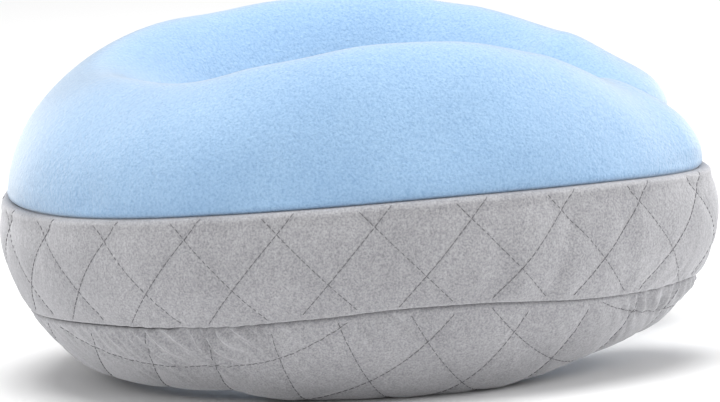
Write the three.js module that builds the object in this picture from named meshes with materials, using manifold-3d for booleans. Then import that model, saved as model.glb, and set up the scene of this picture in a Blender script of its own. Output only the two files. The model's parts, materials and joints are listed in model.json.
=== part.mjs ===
// Horseshoe-shaped foam pillow with a zipped, quilted cover.
// Millimetres, +Z up. The pillow lies on z = 0 and opens toward -Y; its closed back is at +Y.
// The ring runs along a spine of tangent arcs. A place round the ring is a bearing, the angle of
// the spine's outward normal, 0 at the back (+Y) and growing toward +X.

import * as THREE from 'three';
import { mergeVertices } from 'three/addons/utils/BufferGeometryUtils.js';
import Module from 'manifold-3d';

// ---- Spine, seen from above ------------------------------------------------------------------
const BACK_RADIUS = 96;        // spine radius round the back, and again toward each tip
const ARM_RADIUS = 128.5;      // spine radius along each arm
const BACK_END = 60;           // bearing where the back arc becomes the arm arc
const ARM_END = 120;           // bearing where the arm arc becomes the front arc
const TIP_BEARING = 145;       // bearing where each arm ends in a round cap
const HALF_WIDTH = 48;         // spine to outer edge of the ring at its widest level

// ---- Section of the ring ---------------------------------------------------------------------
const WIDEST_Z = 65.3;         // level of the widest part
const CREST_BACK = 135.5;      // crest height at the back, at the highest part of an arm, at a tip
const CREST_ARM = 149.3;
const CREST_TIP = 129;
const CREST_PEAK = 92;         // bearing of the highest part of an arm
const DOME_WIDTH_POWER = 1.282;    // powers that round the dome and the underside
const DOME_HEIGHT_POWER = 1.105;
const BASE_WIDTH_POWER = 1.35;
const BASE_HEIGHT_POWER = 1.2;
const SOLE_SHARE = 0.2;        // share of the half width that is flat underneath
const SOLE_LIFT_BACK = 6.5;     // how far the underside rises off the floor at the back
const SOLE_LIFT_TIP = 11;      // and at the tips
const SOLE_FLAT_FROM = 70;     // the underside rests on the floor between these bearings
const SOLE_FLAT_TO = 103;

// ---- Seams -----------------------------------------------------------------------------------
const TOP_SEAM_Z = 83.1;       // plush dome to side band
const TOP_SEAM_RISE = 7.3;     // how much higher that seam is at the middle of an arm
const LOW_SEAM_Z = 36;         // side band to underside
const LOW_SEAM_RISE = 7.5;
const SEAM_PEAK = 95;          // bearing where both seams are highest
const TOP_SEAM_SPREAD = 75;    // bearings either side of that over which they fall
const LOW_SEAM_SPREAD = 44;
const SEAM_HALF_GAP = 0.18;    // half the clearance between two panels at a seam

// ---- Layers, as depths below the outer surface -----------------------------------------------
const FACE = [0, 1];           // velour and plush face fabric
const WADDING = [1.3, 4];      // quilting wadding
const BACKING = [4.3, 4.65];   // scrim behind the wadding
const LINER = [2, 2.55];       // inner liner, where only plush covers it
const FOAM = 2.9;              // foam core
const QUILT_DROP = 3.1;        // how much deeper liner and foam lie behind the quilted panels
const ZIP_DROP = 6.2;          // and behind the zip

// ---- Zip, in the lower seam round the back ---------------------------------------------------
const ZIP_END = 48;            // the zip's mouth runs between these bearings, either side
const ZIP_MOUTH_CLOSED = 50.5; // bearing where the mouth has closed to a plain seam
const LIP_HALF_GAP = 0.95;     // half the gap between the fabric lips over the zip
const CHANNEL_HALF = 5.2;      // half width of the slider's channel behind the lips
const COIL = { near: 1, far: 3, depth: [3.3, 5.3], end: 46.5 };
const TAPE = { near: 1.1, far: 9.5, depth: [5.6, 6], end: 50 };
const ZIP_STEP = 4;            // degrees between the stations of tapes and coils
const SLIDER_BEARING = 42;     // where the slider is parked, zip closed
const STOP_BEARING = 45.7;     // top stops, beyond the parked slider
const STOP_LENGTH = 2.4;
const SLIDER = {
  frontWidth: 8, rearWidth: 6.4, length: 9.6,
  outerPlate: [1.9, 2.6], innerPlate: [6.6, 7.3],
  rearChamfer: 0.8, frontChamfer: 1.4, shoulder: 0.4,
  neckWidth: 1.1, neckLength: 3.6, weld: 0.2,
  archWidth: 1.2, archRadius: 2.4, eyeRadius: 1.2, pinHeight: 1.9,
};
const PULL = {
  length: 25, width: 7, thickness: 1.1, bar: 0.65, window: [1.1, 3.5], gripHole: 1.5,
  neckInset: 1, neckEnd: 1, flareEnd: 3,
};
const CLAMP = { rise: 0.9, clearance: 0.35, overhang: 0.6 };    // stops over the coils

// ---- Care label, sewn into the lower seam of the +X arm --------------------------------------
const LABEL = { from: 84, to: 94, rows: [1.2, 10.8, 21.7, 31], depth: [-1.05, -0.55], steps: 4 };

const UP = new THREE.Vector3(0, 0, 1);
const radians = THREE.MathUtils.degToRad;

// ---- Spine and section -----------------------------------------------------------------------

const outward = (bearing) => new THREE.Vector3(
  Math.sin(radians(bearing)), Math.cos(radians(bearing)), 0);
const onward = (bearing) => new THREE.Vector3(
  Math.cos(radians(bearing)), -Math.sin(radians(bearing)), 0);

// Centre of the back arc, before the pillow is centred on its own box.
const backCentre = new THREE.Vector3(
  0, (ARM_RADIUS - BACK_RADIUS) * Math.cos(radians(BACK_END)), 0);

function spinePoint(bearing) {
  const side = Math.sign(bearing) || 1;
  const turn = Math.abs(bearing);
  const arcs = [
    { until: BACK_END, radius: BACK_RADIUS },
    { until: ARM_END, radius: ARM_RADIUS },
    { until: Infinity, radius: BACK_RADIUS },
  ];
  const centre = backCentre.clone();
  for (let index = 0; index < arcs.length; index += 1) {
    const arc = arcs[index];
    if (turn <= arc.until) {
      const point = centre.addScaledVector(outward(turn), arc.radius);
      point.x *= side;
      return point;
    }
    const change = arc.radius - arcs[index + 1].radius;
    centre.addScaledVector(outward(arc.until), change);
  }
  return centre;
}

const smooth = (share) => {
  const t = THREE.MathUtils.clamp(share, 0, 1);
  return t * t * (3 - 2 * t);
};

function crestHeight(bearing) {
  const turn = Math.abs(bearing);
  if (turn < CREST_PEAK) {
    return CREST_BACK + (CREST_ARM - CREST_BACK) * smooth(turn / CREST_PEAK);
  }
  return CREST_ARM + (CREST_TIP - CREST_ARM) * smooth((turn - CREST_PEAK) / (TIP_BEARING - CREST_PEAK));
}

function soleHeight(bearing) {
  const turn = Math.abs(bearing);
  if (turn <= ZIP_MOUTH_CLOSED) return SOLE_LIFT_BACK;
  if (turn < SOLE_FLAT_FROM) {
    return SOLE_LIFT_BACK * smooth((SOLE_FLAT_FROM - turn) / (SOLE_FLAT_FROM - ZIP_MOUTH_CLOSED));
  }
  if (turn <= SOLE_FLAT_TO) return 0;
  return SOLE_LIFT_TIP * smooth((turn - SOLE_FLAT_TO) / (TIP_BEARING - SOLE_FLAT_TO));
}

const seamRise = (bearing, spread) => smooth(1 - Math.abs(Math.abs(bearing) - SEAM_PEAK) / spread);

// The section's outline as a fine polyline from the crest to the middle of the sole: distance from
// the spine, height, and length along the outline.
function sectionOutline(bearing) {
  const crest = crestHeight(bearing);
  const sole = soleHeight(bearing);
  const steps = 60;
  const points = [];
  for (let step = 0; step <= 2 * steps; step += 1) {
    const turn = Math.PI / 2 * (1 - step / steps);
    const wide = Math.max(Math.cos(turn), 0);
    const high = Math.abs(Math.sin(turn));
    if (step <= steps) {
      points.push(new THREE.Vector2(
        HALF_WIDTH * wide ** DOME_WIDTH_POWER,
        WIDEST_Z + (crest - WIDEST_Z) * high ** DOME_HEIGHT_POWER));
    } else {
      points.push(new THREE.Vector2(
        HALF_WIDTH * (SOLE_SHARE + (1 - SOLE_SHARE) * wide ** BASE_WIDTH_POWER),
        WIDEST_Z - (WIDEST_Z - sole) * high ** BASE_HEIGHT_POWER));
    }
  }
  points[0].x = 0;
  const flatEdge = points.length - 1;
  points.push(new THREE.Vector2(0, sole));
  const lengths = [0];
  for (let index = 1; index < points.length; index += 1) {
    lengths.push(lengths[index - 1] + points[index].distanceTo(points[index - 1]));
  }
  const lengthAtHeight = (height) => {
    const index = points.findIndex((point) => point.y < height);
    const share = (points[index - 1].y - height) / (points[index - 1].y - points[index].y);
    return THREE.MathUtils.lerp(lengths[index - 1], lengths[index], share);
  };
  return {
    points,
    lengths,
    topSeam: lengthAtHeight(TOP_SEAM_Z + TOP_SEAM_RISE * seamRise(bearing, TOP_SEAM_SPREAD)),
    lowSeam: lengthAtHeight(LOW_SEAM_Z + LOW_SEAM_RISE * seamRise(bearing, LOW_SEAM_SPREAD)),
    flatEdge: lengths[flatEdge],
    end: lengths[points.length - 1],
  };
}

// Point and outward normal of the outline at a length from the crest.
function onOutline(outline, length) {
  const { points, lengths } = outline;
  let index = lengths.findIndex((value) => value >= length - 1e-9);
  index = Math.max(1, index);
  const share = (length - lengths[index - 1]) / (lengths[index] - lengths[index - 1]);
  const point = points[index - 1].clone().lerp(points[index], share);
  const along = points[index].clone().sub(points[index - 1]).normalize();
  const normal = new THREE.Vector2(-along.y, along.x);
  if (length <= 0) normal.set(0, 1);
  if (length >= outline.flatEdge - 1e-6) normal.set(0, -1);
  return { point, normal };
}

// ---- Stations round the closed outline of the ring -------------------------------------------

const BAND_END_STEP = 0.5;     // degrees left between the band's end and the plush inner wall
const CAP_STEPS = 6;
const DOME_SHARES = [0.3, 0.57, 0.8];    // rows of the dome, as shares of its length from the crest
const outlines = new Map();

function outlineAt(bearing) {
  const key = Math.abs(bearing).toFixed(6);
  if (!outlines.has(key)) outlines.set(key, sectionOutline(bearing));
  return outlines.get(key);
}

function station(bearing, direction, place) {
  const lips = place === 'outer' && Math.abs(bearing) <= ZIP_END ? LIP_HALF_GAP : SEAM_HALF_GAP;
  return { bearing, direction, place, lips, spine: spinePoint(bearing), outline: outlineAt(bearing) };
}

function halfRingBearings() {
  const bearings = [];
  for (let bearing = 8; bearing <= ZIP_END; bearing += 8) bearings.push(bearing);
  bearings.push(ZIP_MOUTH_CLOSED, 60, SOLE_FLAT_FROM, 81, 92, SOLE_FLAT_TO, 113, 123, 134);
  bearings.push(TIP_BEARING - BAND_END_STEP, TIP_BEARING);
  return bearings;
}

function cap(bearing) {
  const away = onward(bearing).multiplyScalar(Math.sign(bearing));
  const stations = [];
  for (let step = 1; step < CAP_STEPS; step += 1) {
    const turn = Math.PI * step / CAP_STEPS;
    const direction = outward(bearing).multiplyScalar(Math.cos(turn)).addScaledVector(away, Math.sin(turn));
    stations.push(station(bearing, direction, 'cap'));
  }
  return stations;
}

const half = halfRingBearings();
const bearings = [...half.map((bearing) => -bearing).reverse(), 0, ...half];
const ring = [
  ...bearings.map((bearing) => station(bearing, outward(bearing), 'outer')),
  ...cap(TIP_BEARING),
  ...bearings.slice().reverse().map((bearing) => station(bearing, outward(bearing).negate(), 'inner')),
  ...cap(-TIP_BEARING).reverse(),
];

const reach = ring.map(({ spine, direction }) => spine.y + direction.y * HALF_WIDTH);
const shiftY = -(Math.min(...reach) + Math.max(...reach)) / 2;

// Rows across the section, as lengths from the crest.
const ROWS = {
  crest: () => 0,
  dome1: ({ outline }) => DOME_SHARES[0] * outline.topSeam,
  dome2: ({ outline }) => DOME_SHARES[1] * outline.topSeam,
  dome3: ({ outline }) => DOME_SHARES[2] * outline.topSeam,
  domeEdge: ({ outline }) => outline.topSeam - SEAM_HALF_GAP,
  bandTop: ({ outline }) => outline.topSeam + SEAM_HALF_GAP,
  bandMiddle: ({ outline }) => THREE.MathUtils.lerp(outline.topSeam, outline.lowSeam - CHANNEL_HALF, 0.5),
  bandChannel: ({ outline }) => outline.lowSeam - CHANNEL_HALF,
  bandBottom: ({ outline, lips }) => outline.lowSeam - lips,
  baseEdge: ({ outline, lips }) => outline.lowSeam + lips,
  baseChannel: ({ outline }) => outline.lowSeam + CHANNEL_HALF,
  baseMiddle: ({ outline }) => THREE.MathUtils.lerp(outline.lowSeam + CHANNEL_HALF, outline.flatEdge, 0.5),
  soleEdge: ({ outline }) => outline.flatEdge,
  soleMiddle: ({ outline }) => outline.end,
};
const allRows = Object.keys(ROWS);
const rowsBetween = (first, last) => allRows.slice(allRows.indexOf(first), allRows.indexOf(last) + 1);

// A point of the ring: a station, a length from the crest, and a depth below the surface.
function ringPoint({ spine, direction, outline }, length, depth) {
  const { point, normal } = onOutline(outline, length);
  return spine.clone()
    .addScaledVector(direction, point.x - depth * normal.x)
    .addScaledVector(UP, point.y - depth * normal.y)
    .add(new THREE.Vector3(0, shiftY, 0));
}

// ---- Solids ----------------------------------------------------------------------------------

// Welds a list of triangles into a closed geometry whose faces point out.
function solidFromTriangles(triangles) {
  let volume = 0;
  for (const [a, b, c] of triangles) volume += a.dot(b.clone().cross(c));
  const facing = volume < 0 ? triangles.map(([a, b, c]) => [a, c, b]) : triangles;
  const loose = new THREE.BufferGeometry();
  const coordinates = facing.flat().flatMap((point) => point.toArray());
  loose.setAttribute('position', new THREE.Float32BufferAttribute(coordinates, 3));
  const welded = mergeVertices(loose, 1e-3);
  const kept = [];
  const index = welded.index.array;
  for (let start = 0; start < index.length; start += 3) {
    const [a, b, c] = index.slice(start, start + 3);
    if (a !== b && b !== c && a !== c) kept.push(a, b, c);
  }
  welded.setIndex(kept);
  welded.computeVertexNormals();
  return welded;
}

// A layer of the ring between two depths: stations by rows, with only the cells that `has` keeps.
// A cell between two kept ones is open to them; every other side is closed by a wall.
function layer(stations, rows, depths, has) {
  const points = stations.map((at) => rows.map((row) => depths(at, row)
    .map((depth) => ringPoint(at, ROWS[row](at), depth))));
  const wrap = (index) => (index + stations.length) % stations.length;
  const kept = (i, j) => {
    if (j < 0 || j >= rows.length - 1) return false;
    return has(stations[wrap(i)], stations[wrap(i + 1)], rows[j], rows[j + 1]);
  };
  const meetsItself = (row) => row === 'crest' || row === 'soleMiddle';
  const triangles = [];
  const quad = (a, b, c, d) => triangles.push([a, b, c], [a, c, d]);
  for (let i = 0; i < stations.length; i += 1) {
    for (let j = 0; j < rows.length - 1; j += 1) {
      if (!kept(i, j)) continue;
      const [a, b] = [points[i][j], points[wrap(i + 1)][j]];
      const [d, c] = [points[i][j + 1], points[wrap(i + 1)][j + 1]];
      quad(a[0], b[0], c[0], d[0]);
      if (a.length === 1) continue;
      quad(a[1], d[1], c[1], b[1]);
      if (!kept(i, j - 1) && !meetsItself(rows[j])) quad(b[0], a[0], a[1], b[1]);
      if (!kept(i, j + 1) && !meetsItself(rows[j + 1])) quad(d[0], c[0], c[1], d[1]);
      if (!kept(i - 1, j)) quad(a[0], d[0], d[1], a[1]);
      if (!kept(i + 1, j)) quad(c[0], b[0], b[1], c[1]);
    }
  }
  return solidFromTriangles(triangles);
}

const onInnerWall = (from, to) => from.place === 'inner' && to.place === 'inner'
  && Math.abs(from.bearing) < TIP_BEARING && Math.abs(to.bearing) < TIP_BEARING;
const atBandEnd = (from, to) => from.place === 'inner' && to.place === 'inner'
  && (Math.abs(from.bearing) === TIP_BEARING || Math.abs(to.bearing) === TIP_BEARING);
const inZip = (from, to) => from.place === 'outer' && to.place === 'outer'
  && Math.abs(from.bearing) <= ZIP_MOUTH_CLOSED && Math.abs(to.bearing) <= ZIP_MOUTH_CLOSED;
const everywhere = () => true;
const constantDepths = (depths) => () => depths;

// Plush covers the dome, and also the wall inside the neck opening down to the lower seam.
function topPanel() {
  const rows = rowsBetween('crest', 'bandBottom');
  const dome = new Set(rowsBetween('crest', 'dome3'));
  return layer(ring, rows, constantDepths(FACE), (from, to, row) => dome.has(row) || onInnerWall(from, to));
}

// The quilted panels leave the slider's channel free of wadding and backing.
function sideBand(depths, filled) {
  return layer(ring, rowsBetween('bandTop', 'bandBottom'), constantDepths(depths), (from, to, row) => {
    if (onInnerWall(from, to) || atBandEnd(from, to)) return false;
    return !(filled && inZip(from, to) && row === 'bandChannel');
  });
}

function basePanel(depths, filled) {
  return layer(ring, rowsBetween('baseEdge', 'soleMiddle'), constantDepths(depths),
    (from, to, row) => !(filled && inZip(from, to) && row === 'baseEdge'));
}

// Liner and foam lie deeper where the quilted panels and the zip need the room.
function coreDrop(at, row) {
  const nearZip = at.place === 'outer' && Math.abs(at.bearing) <= ZIP_MOUTH_CLOSED;
  if (nearZip && (row === 'bandChannel' || row === 'baseChannel')) return ZIP_DROP;
  if (['crest', 'dome1', 'dome2', 'dome3'].includes(row)) return 0;
  const wall = ['domeEdge', 'bandTop', 'bandMiddle'].includes(row);
  const plush = at.place === 'inner' && Math.abs(at.bearing) < TIP_BEARING - 2 * BAND_END_STEP;
  return wall && plush ? 0 : QUILT_DROP;
}

const CORE_BASE_ROWS = ['bandTop', 'bandMiddle', 'bandChannel', 'baseChannel', 'baseMiddle',
  'soleEdge', 'soleMiddle'];

function liner(rows) {
  return layer(ring, rows, (at, row) => LINER.map((depth) => depth + coreDrop(at, row)), everywhere);
}

function foamCore() {
  const rows = ['crest', 'dome1', 'dome2', 'dome3', ...CORE_BASE_ROWS];
  return layer(ring, rows, (at, row) => [FOAM + coreDrop(at, row)], everywhere);
}

// ---- Zip -------------------------------------------------------------------------------------

// A strip that follows the lower seam between two distances from it (up is negative).
function seamStrip(fromBearing, toBearing, distances, depths, steps) {
  const stations = [];
  for (let step = 0; step <= steps; step += 1) {
    const bearing = THREE.MathUtils.lerp(fromBearing, toBearing, step / steps);
    stations.push(station(bearing, outward(bearing), 'outer'));
  }
  const points = stations.map((at) => distances.map((distance) => depths
    .map((depth) => ringPoint(at, at.outline.lowSeam + distance, depth))));
  const triangles = [];
  const quad = (a, b, c, d) => triangles.push([a, b, c], [a, c, d]);
  const lastRow = distances.length - 1;
  for (let i = 0; i < steps; i += 1) {
    const [here, next] = [points[i], points[i + 1]];
    for (let j = 0; j < lastRow; j += 1) {
      quad(here[j][0], next[j][0], next[j + 1][0], here[j + 1][0]);
      quad(here[j][1], here[j + 1][1], next[j + 1][1], next[j][1]);
    }
    quad(next[0][0], here[0][0], here[0][1], next[0][1]);
    quad(here[lastRow][0], next[lastRow][0], next[lastRow][1], here[lastRow][1]);
  }
  for (let j = 0; j < lastRow; j += 1) {
    const [first, end] = [points[0], points[steps]];
    quad(first[j][0], first[j + 1][0], first[j + 1][1], first[j][1]);
    quad(end[j + 1][0], end[j][0], end[j][1], end[j + 1][1]);
  }
  return solidFromTriangles(triangles);
}

const zipTape = (side) => seamStrip(-TAPE.end, TAPE.end,
  [side * TAPE.near, side * (TAPE.near + TAPE.far) / 2, side * TAPE.far].sort((a, b) => a - b),
  TAPE.depth, 2 * TAPE.end / ZIP_STEP);
const zipCoil = (side) => seamStrip(-COIL.end, COIL.end,
  [side * COIL.near, side * COIL.far].sort((a, b) => a - b), COIL.depth,
  Math.round(2 * COIL.end / ZIP_STEP));
const careLabel = () => seamStrip(LABEL.from, LABEL.to,
  LABEL.rows, LABEL.depth, LABEL.steps);

// Frame of the zip at a bearing: x up across the zip, y along it, z out of the surface.
function zipFrame(bearing) {
  const at = station(bearing, outward(bearing), 'outer');
  const origin = ringPoint(at, at.outline.lowSeam, 0);
  const out = origin.clone().sub(ringPoint(at, at.outline.lowSeam, 1));
  const along = onward(bearing);
  const across = along.clone().cross(out).normalize();
  return new THREE.Matrix4().makeBasis(across, along, out).setPosition(origin);
}

const wasm = await Module();
wasm.setup();

function toManifold(geometry) {
  const bare = new THREE.BufferGeometry();
  const source = geometry.index ? geometry.toNonIndexed() : geometry;
  bare.setAttribute('position', source.getAttribute('position').clone());
  const welded = mergeVertices(bare, 1e-4);
  return new wasm.Manifold(new wasm.Mesh({
    numProp: 3,
    vertProperties: new Float32Array(welded.getAttribute('position').array),
    triVerts: new Uint32Array(welded.index.array),
  }));
}

function fromManifold(manifold) {
  const mesh = manifold.getMesh();
  const geometry = new THREE.BufferGeometry();
  geometry.setAttribute('position', new THREE.Float32BufferAttribute(mesh.vertProperties, 3));
  geometry.setIndex(new THREE.Uint32BufferAttribute(mesh.triVerts, 1));
  geometry.computeVertexNormals();
  return geometry;
}

const joined = (pieces) => pieces.map(toManifold).reduce((whole, piece) => whole.add(piece));

// A flat plate cut to an outline, between two depths.
function plate(shape, depths, curveSegments = 4) {
  const geometry = new THREE.ExtrudeGeometry(shape,
    { depth: depths[1] - depths[0], bevelEnabled: false, curveSegments });
  return geometry.translate(0, 0, -depths[1]);
}

function sliderOutline() {
  const front = SLIDER.frontWidth / 2;
  const rear = SLIDER.rearWidth / 2;
  const end = SLIDER.length / 2;
  const { rearChamfer, frontChamfer, shoulder } = SLIDER;
  const shape = new THREE.Shape();
  shape.moveTo(-rear, -end + rearChamfer);
  shape.lineTo(-rear + rearChamfer, -end);
  shape.lineTo(rear - rearChamfer, -end);
  shape.lineTo(rear, -end + rearChamfer);
  shape.lineTo(front, shoulder);
  shape.lineTo(front, end - frontChamfer);
  shape.lineTo(front - frontChamfer, end);
  shape.lineTo(-front + frontChamfer, end);
  shape.lineTo(-front, end - frontChamfer);
  shape.lineTo(-front, shoulder);
  shape.closePath();
  return shape;
}

// The arch over the outer plate, with the eye for the pull. It stands in the plane of travel.
function sliderArch() {
  const shape = new THREE.Shape();
  const foot = SLIDER.weld - SLIDER.outerPlate[1];
  shape.moveTo(-SLIDER.archRadius, foot);
  shape.lineTo(SLIDER.archRadius, foot);
  shape.lineTo(SLIDER.archRadius, SLIDER.pinHeight);
  shape.absarc(0, SLIDER.pinHeight, SLIDER.archRadius, 0, Math.PI, false);
  shape.closePath();
  const eye = new THREE.Path();
  eye.absarc(0, SLIDER.pinHeight, SLIDER.eyeRadius, 0, 2 * Math.PI, true);
  shape.holes.push(eye);
  const geometry = new THREE.ExtrudeGeometry(shape,
    { depth: SLIDER.archWidth, bevelEnabled: false, curveSegments: 6 });
  geometry.translate(0, 0, -SLIDER.archWidth / 2);
  return geometry.rotateX(Math.PI / 2).rotateZ(Math.PI / 2);
}

function zipSlider() {
  const [outer, inner] = [SLIDER.outerPlate, SLIDER.innerPlate];
  const neck = new THREE.BoxGeometry(
    SLIDER.neckWidth, SLIDER.neckLength, inner[0] - outer[1] + 2 * SLIDER.weld);
  neck.translate(0, SLIDER.length / 4, -(inner[0] + outer[1]) / 2);
  return fromManifold(joined([
    plate(sliderOutline(), outer), plate(sliderOutline(), inner), neck, sliderArch(),
  ]));
}

// The pull tab about its pin: it lies back over the closed zip.
function zipPull() {
  const side = PULL.width / 2;
  const neckSide = side - PULL.neckInset;
  const neckEnd = -PULL.window[1] - PULL.neckEnd;
  const flareEnd = -PULL.window[1] - PULL.flareEnd;
  const tip = side - PULL.length;
  const shape = new THREE.Shape();
  shape.moveTo(-neckSide, PULL.bar);
  shape.lineTo(neckSide, PULL.bar);
  shape.lineTo(neckSide, neckEnd);
  shape.lineTo(side, flareEnd);
  shape.lineTo(side, tip);
  shape.absarc(0, tip, side, 0, -Math.PI, true);
  shape.lineTo(-side, flareEnd);
  shape.lineTo(-neckSide, neckEnd);
  shape.closePath();
  const opening = new THREE.Path();
  opening.moveTo(-PULL.window[0], -PULL.bar);
  opening.lineTo(-PULL.window[0], -PULL.window[1]);
  opening.lineTo(PULL.window[0], -PULL.window[1]);
  opening.lineTo(PULL.window[0], -PULL.bar);
  opening.closePath();
  const grip = new THREE.Path();
  grip.absarc(0, tip, PULL.gripHole, 0, 2 * Math.PI, false);
  shape.holes.push(opening, grip);
  const geometry = new THREE.ExtrudeGeometry(shape,
    { depth: PULL.thickness, bevelEnabled: false, curveSegments: 6 });
  return geometry.translate(0, 0, -PULL.thickness / 2);
}

// Stops clamp round a tape's coil edge; the bottom stop holds both coils.
function clamp(acrossFrom, acrossTo) {
  const depths = [COIL.depth[0] - CLAMP.rise, COIL.depth[0] - CLAMP.clearance];
  const shape = new THREE.Shape();
  shape.moveTo(acrossFrom, -STOP_LENGTH / 2);
  shape.lineTo(acrossTo, -STOP_LENGTH / 2);
  shape.lineTo(acrossTo, STOP_LENGTH / 2);
  shape.lineTo(acrossFrom, STOP_LENGTH / 2);
  shape.closePath();
  return plate(shape, depths);
}

// ---- Assembly --------------------------------------------------------------------------------

const material = (color, roughness, metalness = 0) => new THREE.MeshStandardMaterial(
  { color, roughness, metalness });

const plush = () => material(0x9fcbf2, 0.95);
const velour = () => material(0xb1b2b6, 0.93);
const wadding = () => material(0xf2f2ee, 1);
const scrim = () => material(0xe6e7e8, 0.95);
const jersey = () => material(0xdfe3e8, 0.9);
const foam = () => material(0xf4efdf, 0.9);
const tape = () => material(0x9d9fa4, 0.85);
const nylon = () => material(0x94979c, 0.45);
const metal = () => material(0xb9bcc0, 0.35, 1);
const satin = () => material(0xf7f7f5, 0.6);

const pillow = new THREE.Group();

function add(parent, name, geometry, finish) {
  const mesh = new THREE.Mesh(geometry, finish);
  mesh.name = name;
  parent.add(mesh);
  return mesh;
}

add(pillow, 'top_panel', topPanel(), plush());
add(pillow, 'side_band', sideBand(FACE, false), velour());
add(pillow, 'side_band_wadding', sideBand(WADDING, true), wadding());
add(pillow, 'side_band_backing', sideBand(BACKING, true), scrim());
add(pillow, 'base_panel', basePanel(FACE, false), velour());
add(pillow, 'base_panel_wadding', basePanel(WADDING, true), wadding());
add(pillow, 'base_panel_backing', basePanel(BACKING, true), scrim());
add(pillow, 'liner_top', liner(rowsBetween('crest', 'domeEdge')), jersey());
add(pillow, 'liner_base', liner(CORE_BASE_ROWS), jersey());
add(pillow, 'foam_core', foamCore(), foam());

for (const [name, side] of [['upper', -1], ['lower', 1]]) {
  add(pillow, `zip_tape_${name}`, zipTape(side), tape());
  add(pillow, `zip_coil_${name}`, zipCoil(side), nylon());
}

function zipGroup(parent, bearing) {
  const group = new THREE.Group();
  group.applyMatrix4(zipFrame(bearing));
  parent.add(group);
  return group;
}

const sliderGroup = zipGroup(pillow, SLIDER_BEARING);
add(sliderGroup, 'zip_slider', zipSlider(), metal());
const pull = add(sliderGroup, 'zip_pull', zipPull(), metal());
pull.position.z = SLIDER.pinHeight;

const topStops = zipGroup(pillow, STOP_BEARING);
add(topStops, 'zip_top_stop_upper', clamp(COIL.near, COIL.far + CLAMP.overhang), metal());
add(topStops, 'zip_top_stop_lower', clamp(-COIL.far - CLAMP.overhang, -COIL.near), metal());
const bottomStop = zipGroup(pillow, -STOP_BEARING);
add(bottomStop, 'zip_bottom_stop', clamp(-COIL.far - CLAMP.overhang, COIL.far + CLAMP.overhang), metal());

add(pillow, 'care_label', careLabel(), satin());

export default pillow;
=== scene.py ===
import json
import math

import bpy
import numpy as np
from mathutils import Matrix, Vector

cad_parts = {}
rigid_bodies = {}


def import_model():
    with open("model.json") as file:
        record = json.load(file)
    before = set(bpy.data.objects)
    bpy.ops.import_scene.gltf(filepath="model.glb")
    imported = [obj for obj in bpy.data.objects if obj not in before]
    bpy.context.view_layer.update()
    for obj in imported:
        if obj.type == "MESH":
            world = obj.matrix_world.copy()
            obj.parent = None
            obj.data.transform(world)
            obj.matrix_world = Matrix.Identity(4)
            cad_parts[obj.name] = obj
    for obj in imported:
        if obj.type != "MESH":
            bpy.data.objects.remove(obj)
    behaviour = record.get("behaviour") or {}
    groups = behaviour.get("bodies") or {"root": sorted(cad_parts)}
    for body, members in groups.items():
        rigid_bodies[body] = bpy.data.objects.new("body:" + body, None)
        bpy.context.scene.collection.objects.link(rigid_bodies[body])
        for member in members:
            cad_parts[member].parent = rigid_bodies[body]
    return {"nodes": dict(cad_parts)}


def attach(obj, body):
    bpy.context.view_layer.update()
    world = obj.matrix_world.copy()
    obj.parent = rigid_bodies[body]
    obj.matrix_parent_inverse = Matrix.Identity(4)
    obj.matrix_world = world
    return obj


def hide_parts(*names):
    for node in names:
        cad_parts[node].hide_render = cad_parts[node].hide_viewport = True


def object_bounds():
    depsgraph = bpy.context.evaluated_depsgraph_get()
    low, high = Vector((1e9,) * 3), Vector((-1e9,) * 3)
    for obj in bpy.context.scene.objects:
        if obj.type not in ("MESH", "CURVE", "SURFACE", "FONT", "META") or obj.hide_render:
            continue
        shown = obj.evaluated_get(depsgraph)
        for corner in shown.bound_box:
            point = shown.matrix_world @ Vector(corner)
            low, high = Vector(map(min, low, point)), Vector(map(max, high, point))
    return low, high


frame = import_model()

# A horseshoe foam pillow: plush dome, quilted velour side band and underside, zip round the back.
# Metres, in the CAD frame. A place round the ring is a bearing: the angle of the spine's outward
# normal, 0 at the closed back (+Y), positive toward +X. A place across the section is the length
# along its outline from the crest.

MM = 0.001
CAD_BOX = [[float(value) for value in corner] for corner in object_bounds()]

# ---- Shape, as in the CAD but for the sole, which is narrower and lower here -------------------
BACK_RADIUS = 96 * MM
ARM_RADIUS = 128.5 * MM
BACK_END = 60
ARM_END = 120
TIP_BEARING = 145
HALF_WIDTH = 48 * MM
WIDEST_Z = 65.3 * MM
CREST_BACK = 135.5 * MM
CREST_ARM = 149.3 * MM
CREST_TIP = 129 * MM
CREST_PEAK = 92
DOME_POWERS = (1.282, 1.105)
BASE_POWERS = (1.35, 1.2)
SOLE_SHARE = 0.13
SOLE_LIFT_BACK = 4.5 * MM
SOLE_LIFT_TIP = 11 * MM
SOLE_FLAT = (70, 97)
ZIP_END = 48
ZIP_MOUTH_CLOSED = 50.5
# Height, rise along the arms and its spread in degrees, sags (bearing, spread, depth). The zip's
# coil follows the sag at the back, but the slider's joint is a level circle. So halfway along its
# travel the slider rides up to 3 mm above the coil and cuts the side band and the upper tape.
TOP_SEAM = (83.1 * MM, 7.3 * MM, 75, [(0, 27, 1.8 * MM)])
LOW_SEAM = (36 * MM, 7.5 * MM, 44, [(0, 27, 3 * MM), (-112, 20, 2.6 * MM)])
SEAM_PEAK = 95

# Where use has settled or plumped the crest: bearing, spread in degrees, height.
SETTLED = [(-42, 24, -5 * MM), (-95, 28, 3.5 * MM), (-148, 16, -5.5 * MM), (40, 16, 1 * MM),
           (85, 20, -2.5 * MM), (132, 22, 3 * MM), (150, 15, -1.5 * MM)]
# Where the dome's shoulder stands fuller: bearing, spread, place as a share of the dome, height.
SHOULDERS = [(-10, 55, 0.62, 3 * MM), (-150, 10, 0.75, 3.5 * MM), (150, 14, 0.8, 11 * MM)]

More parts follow.
